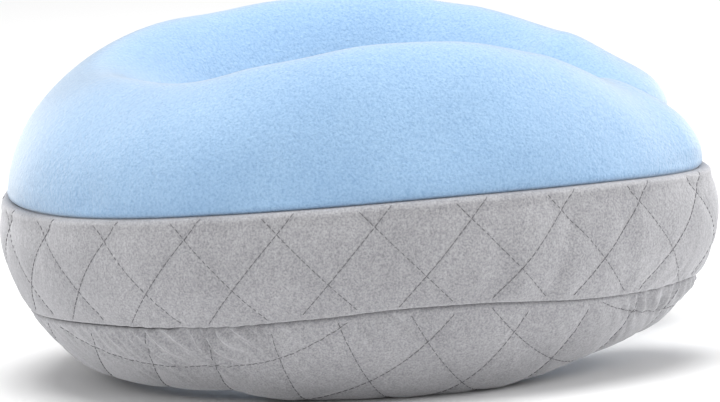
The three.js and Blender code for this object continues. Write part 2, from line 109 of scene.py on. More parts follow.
# ---- Sewing ----------------------------------------------------------------------------------
SHEET = 1.1 * MM             # thickness of the face fabrics
PLUSH_ROLL = 2.4 * MM        # radius with which a panel's edge turns in at a seam
VELOUR_ROLL = 1.7 * MM
SEAM_PULL = 1.1 * MM         # how far a seam draws the cover in, and how far round that reaches
SEAM_REACH = 8 * MM
RIM = (1.3 * MM, 3.2 * MM, 2.1 * MM)     # rolled rim under the top seam: height, place, width
LIP_HALF_GAP = 0.45 * MM
QUILT_WIDE = 42 * MM
QUILT_TALL = 46.8 * MM
QUILT_PHASE = -8.1 * MM      # where a quilting crossing falls, round the band
QUILT_TOP = 10 * MM          # first row of crossings below the top seam
UNDERSIDE_PLACE = np.array([17.8 * MM, -20.8 * MM])    # a crossing of the underside, from the ring's centre
UNDERSIDE_TURN = math.radians(7.1)                     # how far its pattern is turned
UNDERSIDE_STRETCH = np.array([0.99, 1.15])             # how far it is stretched, wide and tall
QUILT_GROOVE = (0.6 * MM, 1.4 * MM)     # depth and half width of the sewn line
QUILT_PUFF = (0.8 * MM, 10 * MM)         # rise between the lines, and how soon it is reached
STITCH = 3.1 * MM            # from one stitch to the next
STITCH_LENGTH = 2.8 * MM
THREAD = 0.18 * MM           # thread radius
STITCH_MARGIN = 1.2 * MM     # no stitch falls nearer to a seam than this
FLOOR_GAP = 0.1 * MM         # the resting cover never goes lower than this

# Gathers under the lower seam: bearing, spread in degrees, strength.
PUCKERS = [(-52, 17, 1.0), (-134, 11, 0.65), (-84, 6, 0.35), (46, 18, 0.85),
           (98, 9, 0.3), (133, 11, 0.6)]
PUCKER_PITCH = 8.4 * MM
PUCKER_HEIGHT = 3.4 * MM
PUCKER_REACH = 17 * MM
PUCKER_SLANT = 0.65          # run along the seam for each length down

# Soft folds across the band: bearing, width, depth, slant.
FOLDS = [(-102.5, 5 * MM, -1.0 * MM, 0.25), (-107.5, 6 * MM, 1.3 * MM, 0.3), (-113, 5 * MM, -1.8 * MM, 0.3),
         (-120.5, 6 * MM, -0.9 * MM, -0.1), (-131, 8 * MM, -0.6 * MM, 0.2), (-63, 9 * MM, -0.5 * MM, 0.3),
         (-24, 10 * MM, -0.5 * MM, -0.3), (15, 9 * MM, -0.6 * MM, 0.3), (52, 8 * MM, -0.7 * MM, -0.2),
         (81, 7 * MM, -0.8 * MM, 0.2), (110, 6 * MM, -1.0 * MM, -0.3), (126, 6 * MM, -0.8 * MM, 0.2)]

# Soft dents in the plush: bearing, length above the top seam, radius, depth.
DENTS = [(-33, 7 * MM, 9 * MM, 0.9 * MM), (-96, 30 * MM, 26 * MM, 0.8 * MM),
         (-124, 16 * MM, 16 * MM, 0.7 * MM), (28, 22 * MM, 24 * MM, 0.9 * MM),
         (88, 14 * MM, 20 * MM, 0.8 * MM), (-62, 34 * MM, 22 * MM, 0.6 * MM)]

# ---- Filling ---------------------------------------------------------------------------------
PRESSURE = 4                 # of the stuffed cover, in the cloth simulation
SWELL_CAP = 5 * MM           # the most that the simulation may move the fabric
SWELL_ALLOWED = 0.55         # share of the mean swelling taken off, because the foam fills the shape

# ---- Layers, as depths below the face, most of them a little deeper than in the CAD --------------
WADDING_DEPTH = (3.2 * MM, 4.9 * MM)
BACKING_DEPTH = (5.2 * MM, 5.55 * MM)
LINER_DEPTH = (2.6 * MM, 3.15 * MM)
FOAM_DEPTH = 3.5 * MM
QUILT_DROP = 3.3 * MM
ZIP_DROP = 6.2 * MM
CHANNEL_HALF = 5.2 * MM

# ---- Zip and label -----------------------------------------------------------------------------
COIL_END = 46.5
COIL_DEPTH = 4.3 * MM
COIL_CENTRE = 1.15 * MM      # from the seam to the middle of a coil
COIL_RADII = (1.45 * MM, 0.8 * MM)
COIL_PITCH = 1.5 * MM
COIL_WIRE = 0.3 * MM
TAPE_SPAN = (1.6 * MM, 9.5 * MM)
TAPE_DEPTH = (5.6 * MM, 6 * MM)
TAPE_END = 50
LABEL_SPAN = (84, 94)
LABEL_DROP = (1.5 * MM, 31 * MM)


def smooth(share):
    t = np.clip(share, 0, 1)
    return t * t * (3 - 2 * t)


def bell(value, spread):
    return np.exp(-(value / spread) ** 2)


def outward(bearing):
    angle = np.radians(np.asarray(bearing, float))
    return np.stack([np.sin(angle), np.cos(angle)], -1)


def onward(bearing):
    angle = np.radians(np.asarray(bearing, float))
    return np.stack([np.cos(angle), -np.sin(angle)], -1)


# ---- Spine -----------------------------------------------------------------------------------

RING_Y = CAD_BOX[1][1] - ((ARM_RADIUS - BACK_RADIUS) * math.cos(math.radians(BACK_END))
                          + BACK_RADIUS + HALF_WIDTH)
BACK_CENTRE = np.array([0, RING_Y + (ARM_RADIUS - BACK_RADIUS) * math.cos(math.radians(BACK_END))])
ARM_CENTRE = BACK_CENTRE + (BACK_RADIUS - ARM_RADIUS) * outward(BACK_END)
FRONT_CENTRE = ARM_CENTRE + (ARM_RADIUS - BACK_RADIUS) * outward(ARM_END)


def spine(bearing):
    bearing = np.asarray(bearing, float)
    turn = np.abs(bearing)[..., None]
    on_arm = (turn > BACK_END) & (turn <= ARM_END)
    centre = np.where(turn <= BACK_END, BACK_CENTRE, np.where(on_arm, ARM_CENTRE, FRONT_CENTRE))
    radius = np.where(on_arm, ARM_RADIUS, BACK_RADIUS)
    point = centre + radius * outward(np.abs(bearing))
    point[..., 0] *= np.where(bearing < 0, -1, 1)
    return point


def spine_radius(bearing):
    turn = np.abs(bearing)
    return np.where((turn > BACK_END) & (turn <= ARM_END), ARM_RADIUS, BACK_RADIUS)


# ---- Section ---------------------------------------------------------------------------------

def crest_height(bearing):
    turn = np.abs(bearing)
    rising = CREST_BACK + (CREST_ARM - CREST_BACK) * smooth(turn / CREST_PEAK)
    falling = CREST_ARM + (CREST_TIP - CREST_ARM) * smooth((turn - CREST_PEAK) / (TIP_BEARING - CREST_PEAK))
    settled = sum(height * bell(bearing - middle, spread) for middle, spread, height in SETTLED)
    return np.where(turn < CREST_PEAK, rising, falling) + settled


def sole_height(bearing):
    turn = np.abs(bearing)
    back = SOLE_LIFT_BACK * smooth((SOLE_FLAT[0] - turn) / (SOLE_FLAT[0] - ZIP_MOUTH_CLOSED))
    front = SOLE_LIFT_TIP * smooth((turn - SOLE_FLAT[1]) / (TIP_BEARING - SOLE_FLAT[1]))
    return np.where(turn < SOLE_FLAT[0], back, front)


def seam_height(bearing, seam):
    height, rise, spread, sags = seam
    risen = rise * smooth(1 - np.abs(np.abs(bearing) - SEAM_PEAK) / spread)
    return height + risen - sum(depth * bell(bearing - middle, reach) for middle, reach, depth in sags)


OUTLINE_STEPS = 90
OUTLINE_STEP = 1 * MM
SOFTNESS = 3.5               # of the outline, in those steps


def sharp_outline(bearing):
    """Half of the section from the crest to mid sole, before smoothing: across, up."""
    crest = float(crest_height(bearing))
    sole = float(sole_height(bearing))
    turn = np.linspace(math.pi / 2, 0, OUTLINE_STEPS + 1)
    wide, high = np.clip(np.cos(turn), 0, 1), np.sin(turn)
    dome = np.stack([HALF_WIDTH * wide ** DOME_POWERS[0],
                     WIDEST_Z + (crest - WIDEST_Z) * high ** DOME_POWERS[1]], -1)
    wide, high = wide[-2::-1], high[-2::-1]
    base = np.stack([HALF_WIDTH * (SOLE_SHARE + (1 - SOLE_SHARE) * wide ** BASE_POWERS[0]),
                     WIDEST_Z - (WIDEST_Z - sole) * high ** BASE_POWERS[1]], -1)
    flat = np.stack([np.linspace(base[-1, 0], 0, 12)[1:], np.full(11, sole)], -1)
    points = np.concatenate([dome, base, flat])
    points[0, 0] = 0
    return points


def resampled(values, at, known):
    return np.stack([np.interp(at, known, column) for column in values.T], -1)


def section_outline(bearing):
    """The section's outline at one bearing, from the crest to mid sole, with the seams' places on it."""
    points = sharp_outline(bearing)
    # The outline is mirrored at both ends and smoothed, so the crest and the sole stay round.
    mirrored = np.concatenate([points[:0:-1] * (-1, 1), points, points[-2::-1] * (-1, 1)])
    lengths = np.concatenate([[0], np.cumsum(np.linalg.norm(np.diff(mirrored, axis=0), axis=1))])
    even = np.arange(0, lengths[-1], OUTLINE_STEP)
    fine = resampled(mirrored, even, lengths)
    reach = 9
    kernel = bell(np.arange(-reach, reach + 1), SOFTNESS * math.sqrt(2))
    kernel /= kernel.sum()
    soft = np.stack([np.convolve(column, kernel, "same") for column in fine.T], -1)
    start, end = lengths[len(points) - 1], lengths[2 * len(points) - 2]
    outline = resampled(soft, np.arange(start, end, OUTLINE_STEP), even)
    outline[0, 0] = 0
    outline[-1, 0] = 0
    along = np.gradient(outline, axis=0)
    normal = np.stack([-along[:, 1], along[:, 0]], -1)
    normal /= np.linalg.norm(normal, axis=1)[:, None]
    normal[0] = (0, 1)
    normal[-1] = (0, -1)
    length = np.concatenate([[0], np.cumsum(np.linalg.norm(np.diff(outline, axis=0), axis=1))])
    top = np.interp(-float(seam_height(bearing, TOP_SEAM)), -outline[:, 1], length)
    low = np.interp(-float(seam_height(bearing, LOW_SEAM)), -outline[:, 1], length)
    return {"points": outline, "normals": normal, "length": length, "top": top, "low": low,
            "end": length[-1]}


# ---- The ring's surface as a grid ------------------------------------------------------------
# Stations run round the closed outline: along the outer side, round the +X tip, back along the
# inner side and round the -X tip. "turn" numbers those four stretches from 0 to 4. Rows run down
# the section through dome, band and base; "rows" numbers those three parts from 0 to 3.

OUTER, RIGHT_TIP, INNER, LEFT_TIP = range(4)
DOME, BAND, BASE = range(3)
WALL_RADIUS = 0.96 * HALF_WIDTH      # of the band round the spine, at the seams' mean level


def clustered(count, dense, both):
    """Shares from 0 to 1, `dense` times as close at the start (and at the end) as on average."""
    t = np.linspace(0, 1, count)
    if both:
        return t - (1 - dense) * np.sin(2 * math.pi * t) / (2 * math.pi)
    return dense * t + (1 - dense) * t ** 2.2


class Ring:
    def __init__(self, spacing, dome_rows, band_rows, base_rows):
        fine = np.linspace(-TIP_BEARING, TIP_BEARING, 2901)
        walk = np.concatenate([[0], np.cumsum(np.diff(np.radians(fine))
                                              * (spine_radius(fine[1:]) + 0.7 * HALF_WIDTH))])
        side_count = int(round(walk[-1] / spacing)) + 1
        side = np.interp(np.linspace(0, walk[-1], side_count), walk, fine)
        side = (side - side[::-1]) / 2
        cap_count = int(round(math.pi * HALF_WIDTH / spacing)) - 1
        cap = math.pi * np.arange(1, cap_count + 1) / (cap_count + 1)
        self.side_count, self.cap_count, self.side = side_count, cap_count, side
        tip = np.full(cap_count, TIP_BEARING)
        self.bearing = np.concatenate([side, tip, side[::-1], -tip])
        self.direction = np.concatenate([outward(side), self.round_tip(cap, 1), -outward(side[::-1]),
                                         self.round_tip(cap[::-1], -1)])
        self.place = np.repeat([OUTER, RIGHT_TIP, INNER, LEFT_TIP],
                               [side_count, cap_count, side_count, cap_count])
        share = (side + TIP_BEARING) / (2 * TIP_BEARING)
        self.turn = np.concatenate([share, 1 + cap / math.pi, 2 + share, 3 + cap / math.pi])
        self.turn[self.place == INNER] = 2 + share
        self.spine = spine(self.bearing)
        self.around = self.lengths_round(side, cap)
        self.measure_sections()
        dome = 1 - clustered(dome_rows, 0.6, False)[::-1]
        band = clustered(band_rows, 0.5, True)
        base = clustered(base_rows, 0.5, False)
        self.rows = np.concatenate([dome, 1 + band, 2 + base])
        self.part = np.repeat([DOME, BAND, BASE], [dome_rows, band_rows, base_rows])
        self.first_band, self.first_base = dome_rows, dome_rows + band_rows
        top, low, end, lip = (value[:, None] for value in (self.top, self.low, self.end, self.lip))
        self.length = np.concatenate([top * dome, top + (low - lip - top) * band,
                                      low + lip + (end - low - lip) * base], 1)
        self.place_points()
        self.ids = self.weld_ids()

    @staticmethod
    def round_tip(angle, sign):
        return (np.cos(angle)[:, None] * outward(sign * TIP_BEARING)
                + sign * np.sin(angle)[:, None] * onward(sign * TIP_BEARING))

    @staticmethod
    def lengths_round(side, cap):
        """Length round the band from the middle of the back, at every station."""
        def walked(radius):
            steps = np.diff(np.radians(side)) * (radius[1:] + radius[:-1]) / 2
            length = np.concatenate([[0], np.cumsum(steps)])
            return length - length[-1] / 2
        outer = walked(spine_radius(side) + WALL_RADIUS)
        inner = walked(spine_radius(side) - WALL_RADIUS)[::-1]
        left_tip = outer[0] - WALL_RADIUS * cap[::-1]
        return np.concatenate([outer, outer[-1] + WALL_RADIUS * cap, inner, left_tip])

    def measure_sections(self):
        keys = np.round(self.bearing, 6)
        tables = {key: section_outline(key) for key in np.unique(keys)}
        self.outlines = [tables[key] for key in keys]
        self.top = np.array([outline["top"] for outline in self.outlines])
        self.low = np.array([outline["low"] for outline in self.outlines])
        self.end = np.array([outline["end"] for outline in self.outlines])
        mouth = smooth((ZIP_MOUTH_CLOSED - np.abs(self.bearing)) / (ZIP_MOUTH_CLOSED - ZIP_END))
        self.lip = LIP_HALF_GAP * mouth * (self.place == OUTER)

    def place_points(self):
        flat = [resampled(outline["points"], lengths, outline["length"])
                for outline, lengths in zip(self.outlines, self.length)]
        slope = [resampled(outline["normals"], lengths, outline["length"])
                 for outline, lengths in zip(self.outlines, self.length)]
        slope = np.array(slope)
        slope /= np.linalg.norm(slope, axis=-1)[..., None]
        self.point = self.lift(np.array(flat), self.spine)
        self.normal = self.lift(slope, np.zeros_like(self.spine))

    def lift(self, flat, origin):
        """Section coordinates to space, at every station."""
        across = self.direction[:, None, :] * flat[..., :1] + origin[:, None, :]
        return np.concatenate([across, flat[..., 1:]], -1)

    def weld_ids(self):
        """Vertex numbers of the grid: crest and mid sole are shared by both sides of the ring."""
        stations, rows = self.length.shape
        ids = np.arange(stations * rows).reshape(stations, rows)
        side, cap = self.side_count, self.cap_count
        partner = np.arange(stations)
        partner[side:side + cap] = side - 1
        partner[side + cap:2 * side + cap] = side - 1 - np.arange(side)
        partner[2 * side + cap:] = 0
        ids[:, 0] = ids[partner, 0]
        ids[:, -1] = ids[partner, -1]
        return ids

    def sewn_ids(self):
        """Vertex numbers with the three parts of the cover joined at their seams."""
        ids = self.ids.copy()
        ids[:, self.first_band] = ids[:, self.first_band - 1]
        ids[:, self.first_base] = ids[:, self.first_base - 1]
        return ids

    def on_inner_wall(self):
        """Cells of the wall inside the neck opening, which plush covers."""
        inner = self.place == INNER
        return (inner & np.roll(inner, -1))[:, None]

    def sample(self, field, turn, row):
        """A field of the grid between its stations and rows."""
        count = len(self.turn)
        station = np.interp(turn % 4, np.append(self.turn, 4), np.arange(count + 1))
        line = np.interp(row, self.rows, np.arange(len(self.rows)))
        i, j = np.floor(station).astype(int), np.floor(line).astype(int)
        j = np.minimum(j, len(self.rows) - 2)
        across, down = (station - i)[:, None], (line - j)[:, None]
        values = field.reshape(count, len(self.rows), -1)
        here, after = i % count, (i + 1) % count
        upper = values[here, j] * (1 - across) + values[after, j] * across
        lower = values[here, j + 1] * (1 - across) + values[after, j + 1] * across
        return upper * (1 - down) + lower * down


# ---- Meshes ----------------------------------------------------------------------------------

def build_mesh(name, vertices, faces, material):
    """A smooth-shaded object from a point array and faces, without repeated corners or loose points."""
    tidy = [list(dict.fromkeys(face)) for face in faces]
    tidy = [face for face in tidy if len(face) > 2]
    used = np.unique(np.concatenate([np.asarray(face) for face in tidy]))
    number = np.full(len(vertices), -1)
    number[used] = np.arange(len(used))
    mesh = bpy.data.meshes.new(name)
    mesh.from_pydata(vertices[used].tolist(), [], [number[face].tolist() for face in tidy])
    mesh.polygons.foreach_set("use_smooth", [True] * len(mesh.polygons))
    if material:
        mesh.materials.append(material)
    mesh.update()
    piece = bpy.data.objects.new(name, mesh)
    bpy.context.collection.objects.link(piece)
    return piece


def grid_quads(ids, cells):
    """Faces over the chosen cells of a grid that is closed from its last station to its first."""
    after = np.roll(ids, -1, 0)
    corners = np.stack([ids[:, :-1], after[:, :-1], after[:, 1:], ids[:, 1:]], -1)
    return corners[cells]


def sheet_between(name, ids, outer, inner, cells, material):
    """A closed sheet between two surfaces of the grid, over the chosen cells."""
    below = outer.shape[0] * outer.shape[1]
    vertices = np.concatenate([outer.reshape(-1, 3), inner.reshape(-1, 3)])
    faces = [grid_quads(ids, cells), grid_quads(ids, cells)[:, ::-1] + below]
    after = np.roll(ids, -1, 0)
    none = np.zeros((len(ids), 1), bool)
    joined = ids[:, :-1] == ids[:, 1:]
    above = np.concatenate([none, cells[:, :-1]], 1)
    under = np.concatenate([cells[:, 1:], none], 1)
    above[:, 0] = True
    under[:, -1] = True
    rims = [
        (cells & ~above & ~joined, after[:, :-1], ids[:, :-1]),
        (cells & ~under, ids[:, 1:], after[:, 1:]),
        (cells & ~np.roll(cells, 1, 0), ids[:, :-1], ids[:, 1:]),
        (cells & ~np.roll(cells, -1, 0), after[:, 1:], after[:, :-1]),
    ]
    for chosen, first, second in rims:
        a, b = first[chosen], second[chosen]
        faces.append(np.stack([a, b, b + below, a + below], -1))
    return build_mesh(name, vertices, np.concatenate(faces).tolist(), material)


def strip_between(name, outer, inner, material):
    """A closed sheet between two open grids of points."""
    rows, columns = outer.shape[:2]
    open_ids = np.arange(rows * columns).reshape(rows, columns)
    cells = np.ones((rows, columns - 1), bool)
    cells[-1] = False
    below = rows * columns
    vertices = np.concatenate([outer.reshape(-1, 3), inner.reshape(-1, 3)])
    faces = [grid_quads(open_ids, cells), grid_quads(open_ids, cells)[:, ::-1] + below]
    rim = np.concatenate([open_ids[:, 0], open_ids[-1, 1:], open_ids[-2::-1, -1], open_ids[0, -2:0:-1]])
    after = np.roll(rim, -1)
    faces.append(np.stack([after, rim, rim + below, after + below], -1))
    return build_mesh(name, vertices, np.concatenate(faces).tolist(), material)


def tube(name, path, side, radius, corners, material):
    """A round wire along a path; `side` points off the path at each of its points."""
    along = np.gradient(path, axis=0)
    along /= np.linalg.norm(along, axis=1)[:, None]
    first = side - along * np.sum(side * along, 1)[:, None]
    first /= np.linalg.norm(first, axis=1)[:, None]
    second = np.cross(along, first)
    angle = 2 * math.pi * np.arange(corners) / corners
    ring = (np.cos(angle)[None, :, None] * first[:, None] + np.sin(angle)[None, :, None] * second[:, None])
    vertices = (path[:, None] + radius * ring).reshape(-1, 3)
    ids = np.arange(len(vertices)).reshape(len(path), corners)
    here, after = ids[:-1], ids[1:]
    faces = np.stack([here, np.roll(here, -1, 1), np.roll(after, -1, 1), after], -1).reshape(-1, 4).tolist()
    faces += [ids[0, ::-1].tolist(), ids[-1].tolist()]
    return build_mesh(name, vertices, faces, material)


def stitches(name, ends, middles, normals, radius, material):
    """Short threads that rise out of the cloth and go back in, one for each pair of ends."""
    along = ends[:, 1] - ends[:, 0]
    along /= np.linalg.norm(along, axis=1)[:, None]
    side = np.cross(along, normals)
    side /= np.linalg.norm(side, axis=1)[:, None]
    up = np.cross(side, along)
    shares = np.array([0, 0.12, 0.5, 0.88, 1])
    sizes = radius * np.array([0.5, 0.9, 1.0, 0.9, 0.5])
    rise = radius * np.array([-1.6, 0.1, 0.5, 0.1, -1.6])
    bow = 1 - (2 * shares - 1) ** 2
    straight = ends[:, :1] * (1 - shares[None, :, None]) + ends[:, 1:] * shares[None, :, None]
    sag = middles - (ends[:, 0] + ends[:, 1]) / 2
    core = straight + sag[:, None] * bow[None, :, None] + up[:, None] * rise[None, :, None]
    angle = 2 * math.pi * np.arange(6) / 6
    spokes = (np.cos(angle)[None, :, None] * side[:, None] + np.sin(angle)[None, :, None] * up[:, None])
    points = core[:, :, None] + spokes[:, None] * sizes[None, :, None, None]
    ids = np.arange(points[..., 0].size).reshape(points.shape[:3])
    here, after = ids[:, :-1], ids[:, 1:]
    walls = np.stack([here, np.roll(here, -1, 2), np.roll(after, -1, 2), after], -1).reshape(-1, 4)
    faces = walls.tolist() + ids[:, 0, ::-1].tolist() + ids[:, -1].tolist()
    return build_mesh(name, points.reshape(-1, 3), faces, material)


# ---- Materials -------------------------------------------------------------------------------

class Nodes:
    """Short calls for building one material's node tree."""

    def __init__(self, name):
        self.material = bpy.data.materials.new(name)
        self.material.use_nodes = True
        self.tree = self.material.node_tree
        self.shader = self.tree.nodes["Principled BSDF"]
        self.place = self.tree.nodes.new("ShaderNodeTexCoord").outputs["Object"]

    def node(self, kind, **settings):
        made = self.tree.nodes.new(kind)
        for key, value in settings.items():
            setattr(made, key, value)
        return made

    def link(self, source, target):
        self.tree.links.new(source, target)

    def scaled(self, scale):
        mapping = self.node("ShaderNodeMapping")
        mapping.inputs["Scale"].default_value = scale
        self.link(self.place, mapping.inputs["Vector"])
        return mapping.outputs["Vector"]

    def noise(self, scale, detail=2, roughness=0.5, vector=None, distortion=0):
        noise = self.node("ShaderNodeTexNoise")
        noise.inputs["Scale"].default_value = scale
        noise.inputs["Detail"].default_value = detail
        noise.inputs["Roughness"].default_value = roughness
        noise.inputs["Distortion"].default_value = distortion
        self.link(vector or self.place, noise.inputs["Vector"])
        return noise.outputs["Fac"]

    def ramp(self, source, stops):
        ramp = self.node("ShaderNodeValToRGB")
        while len(ramp.color_ramp.elements) < len(stops):
            ramp.color_ramp.elements.new(0.5)
        for element, (position, colour) in zip(ramp.color_ramp.elements, stops):
            element.position = position
            element.color = (*colour, 1)
        self.link(source, ramp.inputs["Fac"])
        return ramp.outputs["Color"]

    def mix(self, share, first, second, blend="MIX"):
        mix = self.node("ShaderNodeMix", data_type="RGBA", blend_type=blend)
        for socket, value in zip((mix.inputs[0], mix.inputs[6], mix.inputs[7]), (share, first, second)):
            if isinstance(value, bpy.types.NodeSocket):
                self.link(value, socket)
            elif isinstance(value, (int, float)):
                socket.default_value = value
            else:
                socket.default_value = (*value, 1)
        return mix.outputs[2]

    def combine(self, operation, first, second):
        math_node = self.node("ShaderNodeMath", operation=operation)
        for socket, value in zip(math_node.inputs, (first, second)):
            if isinstance(value, bpy.types.NodeSocket):
                self.link(value, socket)
            else:
                socket.default_value = value
        return math_node.outputs[0]

    def bump(self, height, strength, distance, after=None):
        bump = self.node("ShaderNodeBump")
        bump.inputs["Strength"].default_value = strength
        bump.inputs["Distance"].default_value = distance
        self.link(height, bump.inputs["Height"])
        if after:
            self.link(after, bump.inputs["Normal"])
        return bump.outputs["Normal"]

    def finish(self, colour, roughness, normal=None, sheen=0.0, sheen_tint=(1, 1, 1), metallic=0.0):
        shader = self.shader
        if isinstance(colour, bpy.types.NodeSocket):
            self.link(colour, shader.inputs["Base Color"])
        else:
            shader.inputs["Base Color"].default_value = (*colour, 1)
        if isinstance(roughness, bpy.types.NodeSocket):
            self.link(roughness, shader.inputs["Roughness"])
        else:
            shader.inputs["Roughness"].default_value = roughness
        shader.inputs["Metallic"].default_value = metallic
        shader.inputs["Sheen Weight"].default_value = sheen
        shader.inputs["Sheen Roughness"].default_value = 0.5
        shader.inputs["Sheen Tint"].default_value = (*sheen_tint, 1)
        shader.inputs["Specular IOR Level"].default_value = 0.25
        if normal:
            self.link(normal, shader.inputs["Normal"])
        return self.material


def plush_material():
    m = Nodes("plush")
    patches = m.noise(22, 3, 0.55)
    pile = m.noise(900, 3, 0.65)
    tufts = m.noise(330, 2, 0.6, distortion=0.4)
    shade = m.ramp(patches, [(0.3, (0.260, 0.423, 0.638)), (0.7, (0.290, 0.456, 0.665))])
    fibre = m.ramp(pile, [(0.3, (0.70, 0.77, 0.84)), (0.5, (1.0, 1.0, 1.0)), (0.7, (1.2, 1.16, 1.1))])
    colour = m.mix(0.9, shade, fibre, "MULTIPLY")
    normal = m.bump(tufts, 0.35, 0.0012)
    normal = m.bump(pile, 0.5, 0.0006, normal)
    return m.finish(colour, 0.95, normal, sheen=1.0, sheen_tint=(0.93, 0.97, 1.0))


def velour_material():
    m = Nodes("velour")
    patches = m.noise(30, 3, 0.6)
    pile = m.noise(1100, 2, 0.7)
    nap = m.noise(420, 2, 0.6, m.scaled((1.0, 1.0, 0.45)))
    shade = m.ramp(patches, [(0.3, (0.322, 0.320, 0.335)), (0.7, (0.376, 0.374, 0.389))])
    fibre = m.ramp(pile, [(0.3, (0.66, 0.66, 0.68)), (0.5, (1.0, 1.0, 1.0)), (0.7, (1.3, 1.3, 1.29))])
    colour = m.mix(0.9, shade, fibre, "MULTIPLY")
    brushed = m.ramp(nap, [(0.3, (0.86, 0.86, 0.87)), (0.7, (1.08, 1.08, 1.08))])
    colour = m.mix(0.6, colour, brushed, "MULTIPLY")
    normal = m.bump(nap, 0.3, 0.0009)
    normal = m.bump(pile, 0.45, 0.0005, normal)
    return m.finish(colour, 0.92, normal, sheen=0.8, sheen_tint=(0.97, 0.97, 1.0))


def thread_material():
    m = Nodes("thread")
    twist = m.noise(2500, 2, 0.5)
    colour = m.ramp(twist, [(0.3, (0.12, 0.12, 0.13)), (0.7, (0.20, 0.20, 0.21))])
    return m.finish(colour, 0.6, m.bump(twist, 0.3, 0.0001))


def woven_material(name, dark, light, scale, roughness=0.85):
    m = Nodes(name)
    wave = m.node("ShaderNodeTexWave")
    wave.inputs["Scale"].default_value = scale
    wave.inputs["Distortion"].default_value = 1.5
    m.link(m.place, wave.inputs["Vector"])
    fine = m.noise(scale * 3, 2, 0.6)
    pattern = m.combine("MULTIPLY", wave.outputs["Fac"], fine)
    colour = m.ramp(pattern, [(0.15, dark), (0.6, light)])
    return m.finish(colour, roughness, m.bump(pattern, 0.4, 0.0003))


def fibre_material(name, dark, light, scale):
    m = Nodes(name)
    cloud = m.noise(scale, 5, 0.75, distortion=1.5)
    colour = m.ramp(cloud, [(0.3, dark), (0.7, light)])
    return m.finish(colour, 1.0, m.bump(cloud, 0.7, 0.0012), sheen=0.2)


def foam_material():
    m = Nodes("foam")
    cells = m.node("ShaderNodeTexVoronoi")
    cells.inputs["Scale"].default_value = 900
    m.link(m.place, cells.inputs["Vector"])
    tint = m.noise(14, 3, 0.5)
    shade = m.ramp(tint, [(0.3, (0.86, 0.78, 0.58)), (0.7, (0.92, 0.86, 0.68))])
    # Darker towards the middle of each cell, where the bump sinks it: painted shade in the foam's pores.
    pore_shade = m.ramp(cells.outputs["Distance"], [(0.0, (0.75, 0.75, 0.75)), (0.45, (1.0, 1.0, 1.0))])
    colour = m.mix(0.8, shade, pore_shade, "MULTIPLY")
    return m.finish(colour, 0.9, m.bump(cells.outputs["Distance"], 0.6, 0.0005))


def nylon_material():
    m = Nodes("zip_coil")
    streak = m.noise(1600, 2, 0.5)
    colour = m.ramp(streak, [(0.3, (0.20, 0.20, 0.215)), (0.7, (0.27, 0.27, 0.285))])
    return m.finish(colour, 0.38, m.bump(streak, 0.1, 0.0001))


def metal_material():
    m = Nodes("zip_metal")
    grain = m.noise(1800, 2, 0.6, m.scaled((1, 1, 6)))
    wear = m.noise(160, 4, 0.7)
    colour = m.ramp(wear, [(0.35, (0.50, 0.50, 0.52)), (0.65, (0.64, 0.64, 0.65))])
    roughness = m.combine("ADD", m.combine("MULTIPLY", grain, 0.18), 0.24)
    return m.finish(colour, roughness, m.bump(grain, 0.08, 0.0001), metallic=1.0)


PLUSH = plush_material()
VELOUR = velour_material()
THREAD_DARK = thread_material()
WADDING = fibre_material("wadding", (0.80, 0.80, 0.77), (0.94, 0.94, 0.92), 420)
SCRIM = woven_material("scrim", (0.60, 0.61, 0.63), (0.80, 0.81, 0.82), 700)
LINER = woven_material("liner", (0.58, 0.62, 0.66), (0.80, 0.83, 0.86), 620)
FOAM = foam_material()
TAPE = woven_material("zip_tape", (0.20, 0.20, 0.215), (0.36, 0.36, 0.38), 900)
COIL = nylon_material()
METAL = metal_material()
LABEL = woven_material("label", (0.80, 0.80, 0.78), (0.92, 0.92, 0.90), 1500, 0.5)

# ---- Filling, simulated as cloth ---------------------------------------------------------------

def carried(values, coarse, fine):
    """Values on one ring's grid, carried to another's."""
    by_row = np.stack([np.interp(fine.rows, coarse.rows, line) for line in values])
    turn = np.concatenate([coarse.turn[-1:] - 4, coarse.turn, [4]])
    closed = np.concatenate([by_row[-1:], by_row, by_row[:1]])
    return np.stack([np.interp(fine.turn, turn, column) for column in closed.T], -1)


def softened(values, reach):
    """Values blurred along stations and rows."""
    kernel = bell(np.arange(-2 * reach, 2 * reach + 1), reach)
    kernel /= kernel.sum()
    edge = 2 * reach
    closed = np.concatenate([values[-edge:], values, values[:edge]])
    along = sum(weight * closed[step:step + len(values)] for step, weight in enumerate(kernel))
    padded = np.pad(along, ((0, 0), (edge, edge)), "edge")
    columns = values.shape[1]
    return sum(weight * padded[:, step:step + columns] for step, weight in enumerate(kernel))


def from_seams(ring):
    """Distance to the nearest seam along the section, at every grid point."""
    top = np.abs(ring.length - ring.top[:, None])
    low = np.abs(ring.length - ring.low[:, None])
    sewn_top = np.where((ring.place == INNER)[:, None], np.inf, top)
    return np.minimum(sewn_top, low)


